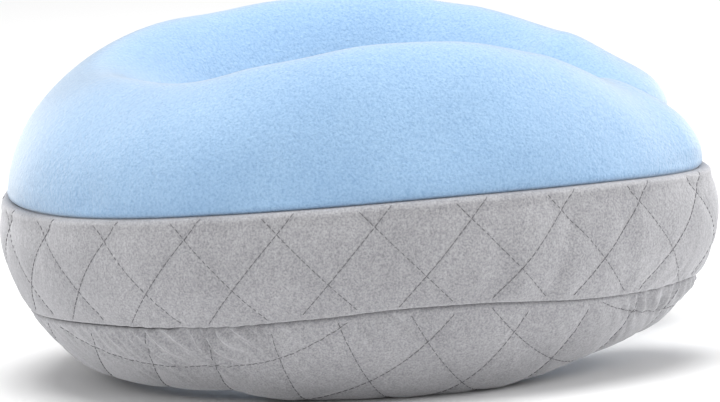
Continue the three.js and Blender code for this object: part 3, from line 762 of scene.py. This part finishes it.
def swelling(coarse):
    """How far the stuffed cover moves outward, as cloth under pressure that is held at its seams."""
    ids = coarse.sewn_ids()
    used, number = np.unique(ids, return_inverse=True)
    number = number.reshape(ids.shape)
    cells = np.ones((len(ids), ids.shape[1] - 1), bool)
    cells[:, [coarse.first_band - 1, coarse.first_base - 1]] = False
    quads = grid_quads(ids, cells)
    cover = build_mesh("swelling_cover", coarse.point.reshape(-1, 3), quads.tolist(), None)
    outer = coarse.place != INNER
    held = np.unique(np.concatenate([number[:, coarse.first_base], number[outer, coarse.first_band]]))
    cover.vertex_groups.new(name="seams").add(held.tolist(), 1.0, "REPLACE")
    cloth = cover.modifiers.new("cloth", "CLOTH")
    cloth.settings.use_pressure = True
    cloth.settings.uniform_pressure_force = PRESSURE
    cloth.settings.effector_weights.gravity = 0
    cloth.settings.vertex_group_mass = "seams"
    cloth.settings.quality = 8
    for step in range(1, 21):
        bpy.context.scene.frame_set(step)
    shaped = cover.evaluated_get(bpy.context.evaluated_depsgraph_get())
    flat = np.empty(3 * len(used))
    shaped.data.vertices.foreach_get("co", flat)
    moved = flat.reshape(-1, 3)[number]
    bpy.data.objects.remove(cover)
    bpy.context.scene.frame_set(1)
    outward_move = np.sum((moved - coarse.point) * coarse.normal, -1)
    outward_move -= SWELL_ALLOWED * outward_move.mean() * smooth(from_seams(coarse) / (15 * MM))
    return np.clip(outward_move, -SWELL_CAP, SWELL_CAP)


# ---- Surface detail --------------------------------------------------------------------------

def to_line(value):
    """Distance, in units of the pattern, from the nearest whole number."""
    return np.abs(value - np.round(value))


QUILT_SPACING = 1 / math.hypot(1 / QUILT_WIDE, 1 / QUILT_TALL)


def quilt_height(place):
    """Height of the quilting at places in the pattern's plane."""
    across, down = place[..., 0] / QUILT_WIDE, place[..., 1] / QUILT_TALL
    distance = np.minimum(to_line(across + down), to_line(across - down)) * QUILT_SPACING
    puff = QUILT_PUFF[0] * (1 - bell(distance, QUILT_PUFF[1]))
    return puff - QUILT_GROOVE[0] * bell(distance, QUILT_GROOVE[1])


def roll_depth(distance, radius):
    """How far an edge turns in at a distance from its seam."""
    near = np.clip(radius - distance, 0, radius)
    return radius - np.sqrt(radius ** 2 - near ** 2)


def soft_noise(position, scale, seed):
    """Smooth seeded noise from a few waves, about -1 to 1."""
    random = np.random.default_rng(seed)
    total = np.zeros(position.shape[:-1])
    for _ in range(9):
        direction = random.normal(size=3)
        direction *= random.uniform(0.6, 1.5) / (np.linalg.norm(direction) * scale)
        total += np.sin(2 * math.pi * (position @ direction) + random.uniform(0, 2 * math.pi))
    return total / 3


def underside_axes():
    """Directions in plan of the underside pattern's wide and tall axes."""
    along_tall = np.array([math.cos(UNDERSIDE_TURN), math.sin(UNDERSIDE_TURN)])
    return np.stack([(-along_tall[1], along_tall[0]), along_tall])


class Cover:
    """The pillow's outer surface: the filled shape, drawn in at the seams, quilted and creased."""

    def __init__(self, ring, swell, detailed):
        self.ring = ring
        self.from_top = np.abs(ring.length - ring.top[:, None])
        self.from_low = np.maximum(np.abs(ring.length - ring.low[:, None]) - ring.lip[:, None], 0)
        self.inner = (ring.place == INNER)[:, None]
        outer_around = ring.around[ring.place == OUTER]
        self.around_at = lambda bearing: np.interp(bearing, ring.side, outer_around)
        height = swell * smooth(from_seams(ring) / (7 * MM)) - self.seam_depth() + self.shoulders()
        if detailed:
            height = height + self.quilting() + self.puckers() + self.folds() + self.dents()
        self.height = height
        self.point = ring.point + ring.normal * height[..., None]
        self.point[..., 2] = np.maximum(self.point[..., 2], FLOOR_GAP)

    def seam_depth(self):
        """How far the cover is drawn in round each seam."""
        ring, inner, part = self.ring, self.inner, self.ring.part
        plush = (part == DOME) | (inner & (part == BAND))
        roll = np.where(plush, PLUSH_ROLL, VELOUR_ROLL)
        from_tip = (TIP_BEARING - np.abs(ring.bearing))[:, None]
        top_share = np.where(inner, smooth(1 - from_tip / 7), 1) * (part != BASE)
        low_share = 1.0 * (part != DOME)
        lips = (ring.lip / LIP_HALF_GAP)[:, None]
        depth = top_share * (roll_depth(self.from_top, roll)
                             + SEAM_PULL * np.exp(-self.from_top / SEAM_REACH))
        # Over the zip the edges are only hemmed, so they roll in less and aren't pulled down.
        low_roll = roll * (1 - 0.35 * lips)
        depth = depth + low_share * (roll_depth(self.from_low, low_roll)
                                     + SEAM_PULL * (1 - lips) * np.exp(-self.from_low / SEAM_REACH))
        # The short upright seam where the band meets the plush wall inside each tip.
        round_cap = WALL_RADIUS * math.pi * (1 - ring.turn % 1)
        round_cap = np.where(ring.place == LEFT_TIP, WALL_RADIUS * math.pi * (ring.turn % 1), round_cap)
        on_wall = np.radians(from_tip[:, 0]) * (BACK_RADIUS - WALL_RADIUS)
        off_wall = np.where(ring.place == OUTER, np.inf, round_cap)
        from_upright = np.where(ring.place == INNER, on_wall, off_wall)
        upright = roll_depth(from_upright[:, None], roll) * (part == BAND)
        return np.maximum(depth, upright)

    def quilting(self):
        ring, part = self.ring, self.ring.part
        around = np.broadcast_to(ring.around[:, None], ring.length.shape) - QUILT_PHASE
        band = quilt_height(np.stack([around, ring.length - ring.top[:, None] - QUILT_TOP], -1))
        reach = ring.end[:, None] - ring.length
        plan = ring.spine[:, None, :] + ring.direction[:, None, :] * reach[..., None]
        base = quilt_height((plan - (0, RING_Y) - UNDERSIDE_PLACE) @ underside_axes().T / UNDERSIDE_STRETCH)
        fade = smooth(np.minimum(self.from_top + 100 * (part == BASE), self.from_low) / (6 * MM))
        rim = RIM[0] * bell(self.from_top - RIM[1], RIM[2])
        quilted = np.where(part == BAND, band * fade + rim, base * fade) * (part != DOME)
        return np.where(self.inner & (part == BAND), 0, quilted)

    def puckers(self):
        """Gathers where the underside is eased into the lower seam."""
        ring = self.ring
        down = self.from_low
        run = np.abs(ring.around)[:, None] - PUCKER_SLANT * down
        warp = 0.4 * soft_noise(ring.point, 30 * MM, 3)
        ridge = 0.5 * np.sin(2 * math.pi * (run / PUCKER_PITCH + warp))
        reach = PUCKER_REACH * (1 + 0.35 * soft_noise(ring.point, 17 * MM, 5))
        fade = smooth((down + 0.5 * MM) / (2 * MM)) * np.exp(-(down / reach) ** 2)
        strength = 0.12 + sum(share * bell(ring.bearing - middle, spread)
                              for middle, spread, share in PUCKERS)
        strength = np.where(self.inner[:, 0], 0.35, np.minimum(strength, 1))[:, None]
        uneven = 1 + 0.3 * soft_noise(ring.point, 12 * MM, 8)
        side = np.where(ring.part == BASE, 1.0, 0.25 * (ring.part == BAND))
        return PUCKER_HEIGHT * strength * fade * ridge * uneven * side

    def folds(self):
        """Soft creases across the side band, and a slow unevenness over the whole cover."""
        ring = self.ring
        down = ring.length - ring.top[:, None]
        share = (ring.rows - 1)[None, :]
        window = smooth(share / 0.35) * smooth((1 - share) / 0.12) * (ring.part == BAND)
        total = 0.35 * MM * soft_noise(ring.point, 55 * MM, 21)
        for bearing, width, depth, slant in FOLDS:
            off = ring.around[:, None] - self.around_at(bearing) - slant * down
            total = total + depth * bell(off, width) * window * ~self.inner
        return total

    def shoulders(self):
        ring = self.ring
        fuller = sum(height * bell(ring.bearing - middle, spread)[:, None] * bell(ring.rows - share, 0.3)
                     for middle, spread, share, height in SHOULDERS)
        facing_out = smooth(np.interp(ring.turn, [0, 1, 2, 3, 4], [1, 1, 0, 0, 1]))[:, None]
        fuller = fuller * facing_out * smooth(ring.rows / 0.4)
        return fuller * (ring.part == DOME) * smooth(self.from_top / (9 * MM))

    def dents(self):
        ring = self.ring
        above = ring.top[:, None] - ring.length
        dome = ring.part == DOME
        total = 0.55 * MM * soft_noise(ring.point, 75 * MM, 11) * dome
        for bearing, height, radius, depth in DENTS:
            off = ring.around[:, None] - self.around_at(bearing)
            total = total - depth * bell(np.hypot(off, above - height), radius) * dome * ~self.inner
        return total * smooth(self.from_top / (6 * MM))


ring = Ring(1.7 * MM, 44, 34, 46)
core_ring = Ring(4.5 * MM, 24, 14, 18)
coarse_ring = Ring(5.5 * MM, 18, 10, 13)
swell = swelling(coarse_ring)
cover = Cover(ring, softened(carried(swell, coarse_ring, ring), 3), True)
core = Cover(core_ring, softened(carried(swell, coarse_ring, core_ring), 1), False)

# ---- Cover panels ------------------------------------------------------------------------------


def under(surface, depth):
    return surface.point - surface.ring.normal * np.asarray(depth)[..., None]


def cover_piece(piece, nodes):
    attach(piece, "cover")
    if nodes:
        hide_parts(*nodes)


def parts_of(ring):
    """Cells of the plush panel, the side band and the base panel."""
    cells = np.ones((len(ring.turn), len(ring.rows) - 1), bool)
    part = np.broadcast_to(ring.part[:-1], cells.shape)
    sewn = part == np.roll(ring.part, -1)[:-1]
    wall = ring.on_inner_wall() & (part == BAND)
    dome_edge = (part == DOME) & ~sewn
    plush = ((part == DOME) & sewn) | (wall & sewn) | (dome_edge & ring.on_inner_wall())
    return plush, (part == BAND) & sewn & ~wall, (part == BASE)


def wall_ids(ring):
    """Vertex numbers with dome and wall joined inside the neck opening."""
    ids = ring.ids.copy()
    inner = ring.place == INNER
    ids[inner, ring.first_band] = ids[inner, ring.first_band - 1]
    return ids


plush_cells, band_cells, base_cells = parts_of(ring)
for name, node, ids, cells, material, slot, fill in [
    ("plush_top_panel", "top_panel", wall_ids(ring), plush_cells, PLUSH, "plush", 0.9),
    ("quilted_side_band", "side_band", ring.ids, band_cells, VELOUR, "velour", 0.8),
    ("quilted_base_panel", "base_panel", ring.ids, base_cells, VELOUR, "velour", 0.8),
]:
    piece = sheet_between(name, ids, under(cover, 0), under(cover, SHEET), cells, material)
    cover_piece(piece, [node])

# ---- Wadding, backing, liner and foam ------------------------------------------------------------

plush_cells, band_cells, base_cells = parts_of(core_ring)
middle_row = (core_ring.length[:, 1:] + core_ring.length[:, :-1]) / 2
by_zip = (core_ring.place == OUTER) & (np.abs(core_ring.bearing) <= ZIP_MOUTH_CLOSED)
channel = by_zip[:, None] & (np.abs(middle_row - core_ring.low[:, None]) < CHANNEL_HALF)
for part, cells in [("side_band", band_cells), ("base_panel", base_cells)]:
    for kind, depths, material, slot in [("wadding", WADDING_DEPTH, WADDING, "wadding"),
                                         ("backing", BACKING_DEPTH, SCRIM, "scrim")]:
        piece = sheet_between(f"quilt_{kind}_{part}", core_ring.ids, under(core, depths[0]),
                              under(core, depths[1]), cells & ~channel, material)
        cover_piece(piece, [f"{part}_{kind}"])

edge = np.where(core_ring.place == INNER, core_ring.low, core_ring.top)[:, None]
drop = QUILT_DROP * smooth((core_ring.length - edge) / (6 * MM) + 0.5)
near_zip = bell(np.abs(core_ring.length - core_ring.low[:, None]), 9 * MM) * by_zip[:, None]
drop = drop + (ZIP_DROP - QUILT_DROP) * near_zip
dome_cells = np.broadcast_to(core_ring.part[:-1] == DOME, band_cells.shape)
joined_cells = np.ones(band_cells.shape, bool)
for name, node, cells in [("foam_liner_top", "liner_top", dome_cells & (core_ring.part[1:] == DOME)),
                          ("foam_liner_base", "liner_base", ~dome_cells)]:
    piece = sheet_between(name, core_ring.sewn_ids(), under(core, LINER_DEPTH[0] + drop),
                          under(core, LINER_DEPTH[1] + drop), cells, LINER)
    cover_piece(piece, [node])
foam_points = under(core, FOAM_DEPTH + drop).reshape(-1, 3)
foam_quads = grid_quads(core_ring.sewn_ids(), joined_cells).tolist()
foam = build_mesh("contoured_foam_core", foam_points, foam_quads, FOAM)
cover_piece(foam, ["foam_core"])

# ---- Quilting stitches ---------------------------------------------------------------------------


def pattern_stitches(lines, span):
    """Starts, middles and ends of the stitches along the quilting lines, in the pattern's plane."""
    found = []
    for slope in (1, -1):
        direction = np.array([QUILT_WIDE, -slope * QUILT_TALL])
        direction /= np.linalg.norm(direction)
        steps = np.arange(-span, span, STITCH)[:, None]
        half = STITCH_LENGTH / 2 * direction
        for line in range(-lines, lines + 1):
            middle = (line * QUILT_WIDE, 0) + steps * direction
            found.append(np.stack([middle - half, middle, middle + half], 1))
    return np.concatenate(found)


def band_place(plane):
    """Station and row of places in the band's pattern."""
    shown = ring.place != INNER
    order = np.argsort(ring.around[shown])
    around = ring.around[shown][order]
    turn = np.where(ring.place == LEFT_TIP, ring.turn - 4, ring.turn)[shown][order]
    length = plane[..., 0] + QUILT_PHASE
    where = np.interp(length, around, turn)
    depth = np.interp(length, around, (ring.low - ring.lip - ring.top)[shown][order])
    share = (plane[..., 1] + QUILT_TOP) / depth
    margin = STITCH_MARGIN / depth
    valid = (length > around[0]) & (length < around[-1]) & (share > margin) & (share < 1 - margin)
    return where, 1 + share, valid


def base_place(plane):
    """Station and row of places in the underside's pattern, which is laid out in plan."""
    plan = (plane * UNDERSIDE_STRETCH) @ underside_axes() + UNDERSIDE_PLACE + (0, RING_Y)
    side = np.where(plan[..., 0] < 0, -1, 1)
    folded = plan * np.stack([side, np.ones_like(side)], -1)
    turn = np.full(side.shape, np.nan)
    reach = np.full(side.shape, np.inf)
    for centre, radius, first, last in [(BACK_CENTRE, BACK_RADIUS, 0, BACK_END),
                                        (ARM_CENTRE, ARM_RADIUS, BACK_END, ARM_END),
                                        (FRONT_CENTRE, BACK_RADIUS, ARM_END, TIP_BEARING)]:
        off = folded - centre
        bearing = np.degrees(np.arctan2(off[..., 0], off[..., 1]))
        gap = np.linalg.norm(off, axis=-1) - radius
        nearer = (bearing >= first) & (bearing <= last) & (np.abs(gap) < reach)
        share = (side * bearing + TIP_BEARING) / (2 * TIP_BEARING)
        turn = np.where(nearer, np.where(gap >= 0, share, 3 - share), turn)
        reach = np.where(nearer, np.abs(gap), reach)
    off = folded - spine(TIP_BEARING)
    angle = np.arctan2(off @ onward(TIP_BEARING), off @ outward(TIP_BEARING))
    beyond = np.isnan(turn) & (angle >= 0)
    turn = np.where(beyond, np.where(side > 0, 1 + angle / math.pi, 4 - angle / math.pi), turn)
    reach = np.where(beyond, np.linalg.norm(off, axis=-1), reach)
    known = ~np.isnan(turn)
    turn = np.where(known, turn, 0)
    breadth = np.interp(turn, ring.turn, ring.end - ring.low - ring.lip)
    share = 1 - reach / breadth
    return turn, 2 + share, known & (share > STITCH_MARGIN / breadth)


def sew(name, places):
    """Quilting stitches at places on the cover."""
    turn, row, valid = places
    valid = valid.all(1)
    count = int(valid.sum())
    points = ring.sample(cover.point, turn[valid].ravel(), row[valid].ravel()).reshape(count, 3, 3)
    normals = ring.sample(ring.normal, turn[valid, 1], row[valid, 1])
    normals /= np.linalg.norm(normals, axis=1)[:, None]
    piece = stitches(name, points[:, [0, 2]], points[:, 1], normals, THREAD, THREAD_DARK)
    cover_piece(piece, [])


sew("quilting_stitches_band", band_place(pattern_stitches(26, 60 * MM)))
sew("quilting_stitches_base", base_place(pattern_stitches(9, 300 * MM)))

# ---- Zip -----------------------------------------------------------------------------------------


def seam_places(start, stop, spacing):
    radius = BACK_RADIUS + WALL_RADIUS
    count = int(round(math.radians(stop - start) * radius / spacing)) + 1
    return np.linspace(start, stop, count)


def near_seam(bearing, across, depth):
    """Points by the lower seam of the round back: across it (down is positive) and below the face."""
    outline = section_outline(0.0)
    level = seam_height(bearing, LOW_SEAM)
    at = np.interp(-level, -outline["points"][:, 1], outline["length"]) + np.asarray(across)
    flat = resampled(outline["points"], at, outline["length"])
    slope = resampled(outline["normals"], at, outline["length"])
    flat = flat - slope * np.asarray(depth)[..., None]
    out = outward(bearing)
    plan = spine(bearing) + out * flat[:, :1]
    return np.concatenate([plan, flat[:, 1:]], 1), np.concatenate([out, 0 * out[:, :1]], 1)


for name, side in [("upper", -1), ("lower", 1)]:
    bearings = seam_places(-COIL_END, COIL_END, COIL_PITCH / 12)
    angle = 2 * math.pi * np.arange(len(bearings)) / 12 + (0 if side > 0 else math.pi)
    across = side * (COIL_CENTRE - COIL_RADII[0] * np.cos(angle))
    depth = COIL_DEPTH - COIL_RADII[1] * np.sin(angle)
    path, out = near_seam(bearings, across, depth)
    coil = tube(f"coil_teeth_{name}", path, out, COIL_WIRE, 6, COIL)
    cover_piece(coil, [f"zip_coil_{name}"])
    bearings = seam_places(-TAPE_END, TAPE_END, 2.5 * MM)
    faces = []
    for depth in TAPE_DEPTH:
        depths = np.full(len(bearings), depth)
        columns = [near_seam(bearings, np.full(len(bearings), side * across), depths)[0]
                   for across in np.linspace(*TAPE_SPAN, 6)]
        faces.append(np.stack(columns if side > 0 else columns[::-1], 1))
    tape = strip_between(f"woven_tape_{name}", faces[0], faces[1], TAPE)
    cover_piece(tape, [f"zip_tape_{name}"])


def rounded_copy(node, body, width):
    """The CAD node's own shape with its edges broken by a small round."""
    mesh = frame["nodes"][node].data.copy()
    piece = bpy.data.objects.new(f"{node}_rounded", mesh)
    bpy.context.collection.objects.link(piece)
    mesh.materials.clear()
    mesh.materials.append(METAL)
    weld = piece.modifiers.new("weld", "WELD")
    weld.merge_threshold = 0.01 * MM
    bevel = piece.modifiers.new("bevel", "BEVEL")
    bevel.width = width
    bevel.segments = 2
    bevel.angle_limit = math.radians(30)
    shaped = piece.evaluated_get(bpy.context.evaluated_depsgraph_get())
    piece.data = bpy.data.meshes.new_from_object(shaped)
    piece.modifiers.clear()
    piece.data.polygons.foreach_set("use_smooth", [True] * len(piece.data.polygons))
    piece.data.set_sharp_from_angle(angle=math.radians(40))
    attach(piece, body)
    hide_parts(node)


for node, body, width in [("zip_slider", "slider", 0.18 * MM), ("zip_pull", "pull", 0.28 * MM),
                          ("zip_top_stop_upper", "cover", 0.12 * MM),
                          ("zip_top_stop_lower", "cover", 0.12 * MM),
                          ("zip_bottom_stop", "cover", 0.12 * MM)]:
    rounded_copy(node, body, width)

# ---- Care label ------------------------------------------------------------------------------------


def label_surface(lift):
    bearings = np.linspace(*LABEL_SPAN, 16)
    drops = np.linspace(*LABEL_DROP, 18)
    turn = np.repeat((bearings + TIP_BEARING) / (2 * TIP_BEARING), len(drops))
    breadth = np.interp(turn, ring.turn, ring.end - ring.low)
    row = 2 + np.tile(drops, len(bearings)) / breadth
    base = ring.sample(ring.point, turn, row)
    normal = ring.sample(ring.normal, turn, row)
    height = softened(cover.height, 4)
    rise = ring.sample(height, turn, row)
    curl = 1.2 * MM * smooth((np.tile(drops, len(bearings)) - 20 * MM) / (11 * MM))[:, None]
    lifted = base + normal * (np.maximum(rise, 0) + 0.6 * MM + lift + curl)
    return lifted.reshape(len(bearings), len(drops), 3)


label = strip_between("satin_care_label", label_surface(0.4 * MM), label_surface(0), LABEL)
cover_piece(label, ["care_label"])

# ---- Floor, light and camera -----------------------------------------------------------------


def studio():
    floor_mesh = bpy.data.meshes.new("floor")
    reach = 6.0
    floor_mesh.from_pydata([(-reach, -reach, 0), (reach, -reach, 0), (reach, reach, 0), (-reach, reach, 0)],
                           [], [(0, 1, 2, 3)])
    floor = bpy.data.objects.new("floor", floor_mesh)
    bpy.context.collection.objects.link(floor)
    m = Nodes("floor")
    floor_mesh.materials.append(m.finish((0.93, 0.93, 0.93), 0.9))
    world = bpy.data.worlds.new("studio")
    bpy.context.scene.world = world
    world.use_nodes = True
    world.node_tree.nodes["Background"].inputs["Color"].default_value = (1.0, 1.0, 1.0, 1)
    world.node_tree.nodes["Background"].inputs["Strength"].default_value = 0.45
    lights = [
        ("overhead", (0.0, 0.0, 1.7), 1.6, 36.0),
        ("back_side", (-0.4, 1.5, 0.8), 0.8, 3.5),
        ("front_side", (-0.4, -1.5, 0.8), 0.8, 8.5),
        ("low_side", (-1.1, 0.0, 0.15), 0.5, 0.4),
    ]
    for name, place, size, power in lights:
        data = bpy.data.lights.new(name, "AREA")
        data.shape = "DISK"
        data.size = size
        data.energy = power
        light = bpy.data.objects.new(name, data)
        light.location = place
        aim = Vector((0, 0, 0.08)) - Vector(place)
        light.rotation_euler = aim.to_track_quat("-Z", "Y").to_euler()
        bpy.context.collection.objects.link(light)


CAMERA_AZIMUTH = -99.3
CAMERA_ELEVATION = 8.4
CAMERA_ROLL = 3.07
CAMERA_DISTANCE = 7.0
IMAGE_WIDTH = 720
PIXELS_PER_METRE = 2310
# How far right of and above the middle the target shows.
CENTRE_OFFSET = (8.8 / PIXELS_PER_METRE, 12.2 / PIXELS_PER_METRE)
CAMERA_TARGET = Vector((0, RING_Y, 0.075))


def make_camera():
    azimuth, elevation = math.radians(CAMERA_AZIMUTH), math.radians(CAMERA_ELEVATION)
    toward = Vector((math.sin(azimuth) * math.cos(elevation), -math.cos(azimuth) * math.cos(elevation),
                     math.sin(elevation)))
    right = Vector((math.cos(azimuth), math.sin(azimuth), 0))
    up = toward.cross(right)
    roll = math.radians(CAMERA_ROLL)
    rolled_right = right * math.cos(roll) - up * math.sin(roll)
    rolled_up = up * math.cos(roll) + right * math.sin(roll)
    aim = CAMERA_TARGET - rolled_right * CENTRE_OFFSET[0] - rolled_up * CENTRE_OFFSET[1]
    data = bpy.data.cameras.new("camera")
    data.sensor_width = 36
    data.lens = PIXELS_PER_METRE * CAMERA_DISTANCE * data.sensor_width / IMAGE_WIDTH
    data.clip_end = 50
    camera = bpy.data.objects.new("camera", data)
    turn = Matrix((rolled_right, rolled_up, toward)).transposed().to_4x4()
    camera.matrix_world = Matrix.Translation(aim + toward * CAMERA_DISTANCE) @ turn
    bpy.context.collection.objects.link(camera)
    bpy.context.scene.camera = camera


studio()
make_camera()
bpy.context.scene.view_settings.view_transform = "Standard"
